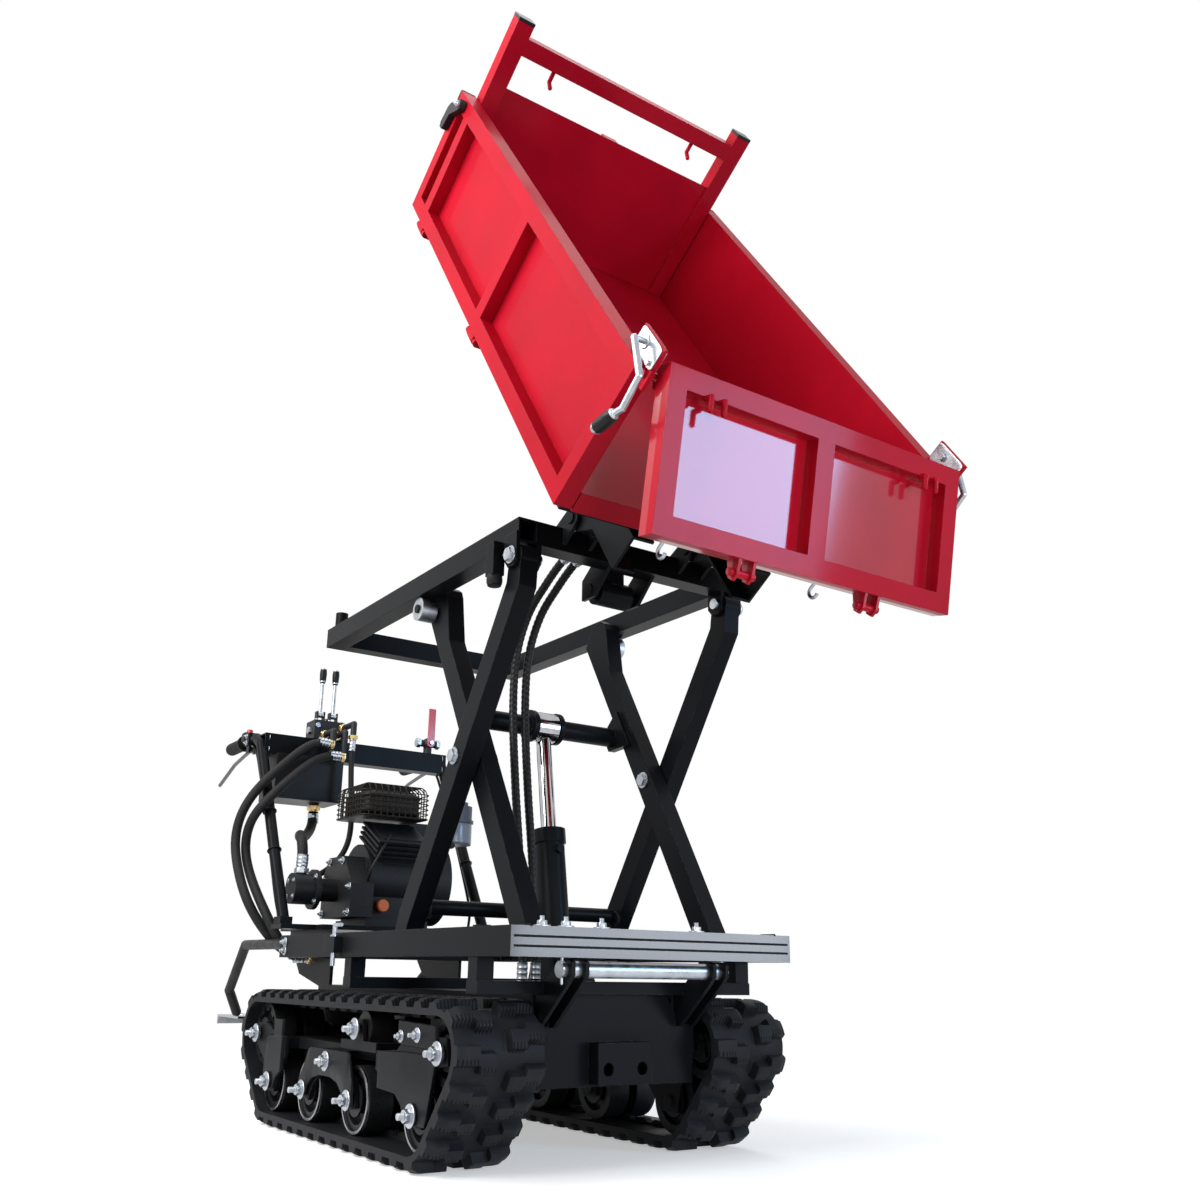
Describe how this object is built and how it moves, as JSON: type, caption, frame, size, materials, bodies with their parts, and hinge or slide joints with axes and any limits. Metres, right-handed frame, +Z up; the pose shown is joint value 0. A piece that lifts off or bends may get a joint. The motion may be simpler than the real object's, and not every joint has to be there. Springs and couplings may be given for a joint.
{
  "type": "tracked power carrier",
  "caption": "Walk-behind tracked carrier with rubber tracks, a hydraulic scissor lift, a tipping load box with folding boards and hanging gate, an engine, valves and a handlebar.",
  "frame": {"origin": "on the ground under the middle of the machine's box of extents", "axes": "+X forward to the tipping end, +Y to the left seen from the handle, +Z up"},
  "size_m": [2.3691, 0.8002, 2.4058],
  "materials": {
    "black_paint": "satin black powder coat",
    "frame_paint": "matt black paint, dusty",
    "track_rubber": "matt moulded rubber",
    "red_paint": "gloss red powder coat",
    "chrome_rod": "hard chrome, ground",
    "zinc_steel": "bright zinc plate",
    "black_plastic": "moulded black plastic",
    "lever_alloy": "dark cast alloy",
    "red_lever": "red dipped handle",
    "valve_iron": "grey cast iron, painted",
    "engine_alloy": "dark cast alloy and black covers",
    "guard_steel": "dull heat-stained steel wire",
    "grey_plastic": "grey moulded plastic",
    "hose_rubber": "smooth black rubber hose",
    "roller_steel": "cast wheels, dark"
  },
  "bodies": {
    "chassis": {"chassis_frame": "black_paint", "track_frame_left": "frame_paint", "track_frame_right": "frame_paint", "track_belt_left": "track_rubber", "track_belt_right": "track_rubber", "gearbox": "frame_paint", "undercarriage_bolts": "zinc_steel", "base_frame": "black_paint", "pivot_tube": "zinc_steel", "handlebar": "black_paint", "grips": "black_plastic", "valve_block": "valve_iron", "oil_tank": "black_plastic", "engine": "engine_alloy", "muffler_guard": "guard_steel", "air_filter": "grey_plastic", "hydraulic_pump": "engine_alloy", "hoses": "hose_rubber", "rear_step": "black_paint"},
    "inner": {"inner_arms": "black_paint"},
    "outer": {"outer_arms": "black_paint", "scissor_pins": "zinc_steel"},
    "deck": {"upper_frame": "black_paint"},
    "lower_slides": {"lower_slide_rollers": "zinc_steel"},
    "upper_slides": {"upper_slide_rollers": "zinc_steel"},
    "lift_rod": {"lift_rod": "chrome_rod"},
    "lift_barrel": {"lift_barrel": "black_paint"},
    "tip_barrel": {"tip_barrel": "black_paint"},
    "tip_rod": {"tip_rod": "chrome_rod"},
    "box": {"box_subframe": "black_paint", "box_floor": "red_paint", "headboard": "red_paint"},
    "gate": {"tail_gate": "red_paint"},
    "carriers": {"carrier_rollers": "roller_steel"},
    "lock_pin": {"lock_pin": "zinc_steel"},
    "valve_lift": {"valve_lever_lift": "zinc_steel"},
    "valve_tip": {"valve_lever_tip": "zinc_steel"},
    "stop_valve": {"ball_valve_lever": "red_lever"},
    "board_left": {"side_board_left": "red_paint"},
    "front_latch_left": {"front_latch_left": "zinc_steel"},
    "rear_latch_left": {"rear_latch_left": "black_plastic"},
    "clutch_left": {"clutch_lever_left": "lever_alloy"},
    "drive_sprocket_left": {"drive_sprocket_left": "roller_steel"},
    "front_idler_left": {"front_idler_left": "roller_steel"},
    "front_roller_left": {"front_roller_left": "roller_steel"},
    "rear_roller_left": {"rear_roller_left": "roller_steel"},
    "bogie_left": {"bogie_left": "frame_paint"},
    "bogie_roller_left_front": {"bogie_roller_left_front": "roller_steel"},
    "bogie_roller_left_rear": {"bogie_roller_left_rear": "roller_steel"},
    "board_right": {"side_board_right": "red_paint"},
    "front_latch_right": {"front_latch_right": "zinc_steel"},
    "rear_latch_right": {"rear_latch_right": "black_plastic"},
    "clutch_right": {"clutch_lever_right": "lever_alloy"},
    "drive_sprocket_right": {"drive_sprocket_right": "roller_steel"},
    "front_idler_right": {"front_idler_right": "roller_steel"},
    "front_roller_right": {"front_roller_right": "roller_steel"},
    "rear_roller_right": {"rear_roller_right": "roller_steel"},
    "bogie_right": {"bogie_right": "frame_paint"},
    "bogie_roller_right_front": {"bogie_roller_right_front": "roller_steel"},
    "bogie_roller_right_rear": {"bogie_roller_right_rear": "roller_steel"}
  },
  "joints": [
    {"name": "lift", "type": "hinge", "parent": "chassis", "child": "inner", "pos_m": [0.594, 0, 0.395], "axis": [0, 1, 0], "range_deg": [-51.5, 0], "deforming": ["hoses"]},
    {"name": "scissor", "type": "hinge", "parent": "inner", "child": "outer", "pos_m": [0.37779, 0, 0.76205], "axis": [0, 1, 0], "range_deg": [0, 103]},
    {"name": "deck_pivot", "type": "hinge", "parent": "outer", "child": "deck", "pos_m": [0.594, 0, 1.12911], "axis": [0, 1, 0], "range_deg": [-51.5, 0]},
    {"name": "lower_slide_spin", "type": "hinge", "parent": "outer", "child": "lower_slides", "pos_m": [0.16158, 0, 0.395], "axis": [0, 1, 0], "continuous": true},
    {"name": "upper_slide_spin", "type": "hinge", "parent": "inner", "child": "upper_slides", "pos_m": [0.16158, 0, 1.12911], "axis": [0, 1, 0], "continuous": true},
    {"name": "lift_rod_pivot", "type": "hinge", "parent": "inner", "child": "lift_rod", "pos_m": [0.25969, 0, 0.87586], "axis": [0, 1, 0], "range_deg": [-14.72, 0]},
    {"name": "lift_stroke", "type": "slide", "parent": "lift_rod", "child": "lift_barrel", "axis": [0.1587, 0, -0.9873], "range_m": [-0.19096, 0]},
    {"name": "tip", "type": "hinge", "parent": "deck", "child": "box", "pos_m": [0.64, 0, 1.21811], "axis": [0, 1, 0], "range_deg": [-56, 0]},
    {"name": "tip_barrel_pivot", "type": "hinge", "parent": "deck", "child": "tip_barrel", "pos_m": [0.522, 0, 1.12311], "axis": [0, 1, 0], "range_deg": [-49.58, 0]},
    {"name": "tip_stroke", "type": "slide", "parent": "tip_barrel", "child": "tip_rod", "axis": [0, 0, 1], "range_m": [-0.1382, 0]},
    {"name": "gate", "type": "hinge", "parent": "box", "child": "gate", "pos_m": [1.1268, 0, 1.26179], "axis": [0, 1, 0], "range_deg": [-44.5, 45.5]},
    {"name": "lock_pin_lift", "type": "slide", "parent": "chassis", "child": "lock_pin", "axis": [0, 0, 1], "range_m": [0, 0.03]},
    {"name": "carrier_spin", "type": "hinge", "parent": "chassis", "child": "carriers", "pos_m": [0.18, 0, 0.23], "axis": [0, 1, 0], "continuous": true},
    {"name": "lift_control", "type": "hinge", "parent": "chassis", "child": "valve_lift", "pos_m": [-0.81, -0.124, 1.073], "axis": [0, 1, 0], "range_deg": [-15, 15], "stiffness_Nm_per_rad": 4},
    {"name": "tip_control", "type": "hinge", "parent": "chassis", "child": "valve_tip", "pos_m": [-0.81, -0.084, 1.073], "axis": [0, 1, 0], "range_deg": [-15, 15], "stiffness_Nm_per_rad": 4},
    {"name": "stop_valve_turn", "type": "hinge", "parent": "chassis", "child": "stop_valve", "pos_m": [-0.788, 0.236, 1.029], "axis": [1, 0, 0], "range_deg": [0, 90]},
    {"name": "side_board_left_fold", "type": "hinge", "parent": "box", "child": "board_left", "pos_m": [0.74943, 0.366, 1.29192], "axis": [0.5592, 0, -0.829], "range_deg": [-100, 0]},
    {"name": "front_latch_left_turn", "type": "hinge", "parent": "board_left", "child": "front_latch_left", "pos_m": [1.13345, 0.379, 1.31452], "axis": [0, 1, 0], "range_deg": [-80, 0]},
    {"name": "rear_latch_left_turn", "type": "hinge", "parent": "board_left", "child": "rear_latch_left", "pos_m": [0.45837, 0.379, 2.23668], "axis": [0, 1, 0], "range_deg": [0, 70]},
    {"name": "clutch_left_squeeze", "type": "hinge", "parent": "chassis", "child": "clutch_left", "pos_m": [-0.9, 0.29, 0.959], "axis": [0, 1, 0], "range_deg": [0, 6], "stiffness_Nm_per_rad": 6, "springref_deg": -17.19},
    {"name": "drive_sprocket_left_spin", "type": "hinge", "parent": "chassis", "child": "drive_sprocket_left", "pos_m": [-0.4, 0.286, 0.195], "axis": [0, 1, 0], "continuous": true},
    {"name": "front_idler_left_spin", "type": "hinge", "parent": "chassis", "child": "front_idler_left", "pos_m": [0.542, 0.286, 0.205], "axis": [0, 1, 0], "continuous": true},
    {"name": "front_roller_left_spin", "type": "hinge", "parent": "chassis", "child": "front_roller_left", "pos_m": [0.45, 0.286, 0.095], "axis": [0, 1, 0], "continuous": true},
    {"name": "rear_roller_left_spin", "type": "hinge", "parent": "chassis", "child": "rear_roller_left", "pos_m": [-0.3, 0.286, 0.095], "axis": [0, 1, 0], "continuous": true},
    {"name": "bogie_left_rock", "type": "hinge", "parent": "chassis", "child": "bogie_left", "pos_m": [0.038, 0.286, 0.16], "axis": [0, 1, 0], "range_deg": [-3.4, 3.4], "deforming": ["track_belt_left"]},
    {"name": "bogie_roller_left_front_spin", "type": "hinge", "parent": "bogie_left", "child": "bogie_roller_left_front", "pos_m": [0.16, 0.286, 0.095], "axis": [0, 1, 0], "continuous": true},
    {"name": "bogie_roller_left_rear_spin", "type": "hinge", "parent": "bogie_left", "child": "bogie_roller_left_rear", "pos_m": [-0.084, 0.286, 0.095], "axis": [0, 1, 0], "continuous": true},
    {"name": "side_board_right_fold", "type": "hinge", "parent": "box", "child": "board_right", "pos_m": [0.74943, -0.366, 1.29192], "axis": [0.5592, 0, -0.829], "range_deg": [0, 100]},
    {"name": "front_latch_right_turn", "type": "hinge", "parent": "board_right", "child": "front_latch_right", "pos_m": [1.13345, -0.379, 1.31452], "axis": [0, 1, 0], "range_deg": [-80, 0]},
    {"name": "rear_latch_right_turn", "type": "hinge", "parent": "board_right", "child": "rear_latch_right", "pos_m": [0.45837, -0.379, 2.23668], "axis": [0, 1, 0], "range_deg": [0, 70]},
    {"name": "clutch_right_squeeze", "type": "hinge", "parent": "chassis", "child": "clutch_right", "pos_m": [-0.9, -0.29, 0.959], "axis": [0, 1, 0], "range_deg": [0, 6], "stiffness_Nm_per_rad": 6, "springref_deg": -17.19},
    {"name": "drive_sprocket_right_spin", "type": "hinge", "parent": "chassis", "child": "drive_sprocket_right", "pos_m": [-0.4, -0.286, 0.195], "axis": [0, 1, 0], "continuous": true},
    {"name": "front_idler_right_spin", "type": "hinge", "parent": "chassis", "child": "front_idler_right", "pos_m": [0.542, -0.286, 0.205], "axis": [0, 1, 0], "continuous": true},
    {"name": "front_roller_right_spin", "type": "hinge", "parent": "chassis", "child": "front_roller_right", "pos_m": [0.45, -0.286, 0.095], "axis": [0, 1, 0], "continuous": true},
    {"name": "rear_roller_right_spin", "type": "hinge", "parent": "chassis", "child": "rear_roller_right", "pos_m": [-0.3, -0.286, 0.095], "axis": [0, 1, 0], "continuous": true},
    {"name": "bogie_right_rock", "type": "hinge", "parent": "chassis", "child": "bogie_right", "pos_m": [0.038, -0.286, 0.16], "axis": [0, 1, 0], "range_deg": [-3.4, 3.4], "deforming": ["track_belt_right"]},
    {"name": "bogie_roller_right_front_spin", "type": "hinge", "parent": "bogie_right", "child": "bogie_roller_right_front", "pos_m": [0.16, -0.286, 0.095], "axis": [0, 1, 0], "continuous": true},
    {"name": "bogie_roller_right_rear_spin", "type": "hinge", "parent": "bogie_right", "child": "bogie_roller_right_rear", "pos_m": [-0.084, -0.286, 0.095], "axis": [0, 1, 0], "continuous": true}
  ],
  "couplings": [
    {"joint": "scissor", "follows": "lift", "ratio": -2},
    {"joint": "deck_pivot", "follows": "lift", "ratio": 1},
    {"joint": "lift_rod_pivot", "follows": "lift", "ratio": 0.28577},
    {"joint": "lift_stroke", "follows": "lift", "m_per_rad": 0.21244},
    {"joint": "tip_barrel_pivot", "follows": "tip", "ratio": 0.88533},
    {"joint": "tip_stroke", "follows": "tip", "m_per_rad": 0.1414}
  ]
}
